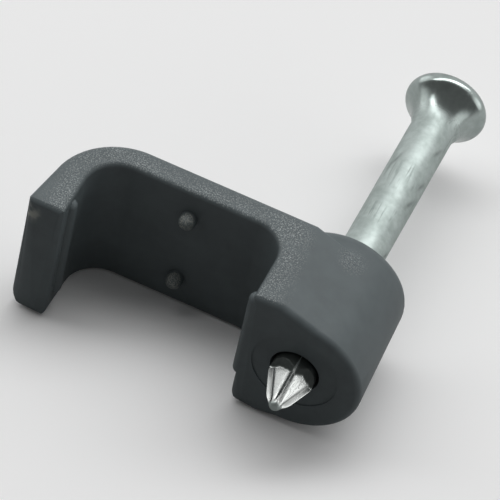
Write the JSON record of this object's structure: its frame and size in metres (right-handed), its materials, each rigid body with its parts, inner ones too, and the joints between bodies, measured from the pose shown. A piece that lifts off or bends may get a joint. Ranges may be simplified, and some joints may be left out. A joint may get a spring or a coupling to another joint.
{
  "type": "nail-in cable clip",
  "caption": "Moulded saddle clip with a hook on one side and a round boss on the other, with a steel nail pre-set in the boss to fix a flat cable to a wall.",
  "frame": {"origin": "where the nail's axis meets the wall plane, midway along the clip's width", "axes": "+X across the channel from the hook to the boss, +Y out of the wall along the nail to its head, +Z along the cable"},
  "size_m": [0.0199, 0.025, 0.0088],
  "materials": {
    "grey_plastic": "mid-grey moulded polymer, fine spark-eroded grain on the sides, smooth in the channel and on the wall face",
    "zinc_steel": "bright zinc-plated hardened steel, lightly scratched along the shank"
  },
  "bodies": {
    "clip": {"clip_body": "grey_plastic"},
    "nail": {"nail": "zinc_steel"}
  },
  "joints": [
    {"name": "nail_drive", "type": "slide", "parent": "clip", "child": "nail", "axis": [0, -1, 0], "range_m": [0, 0.0119]}
  ]
}
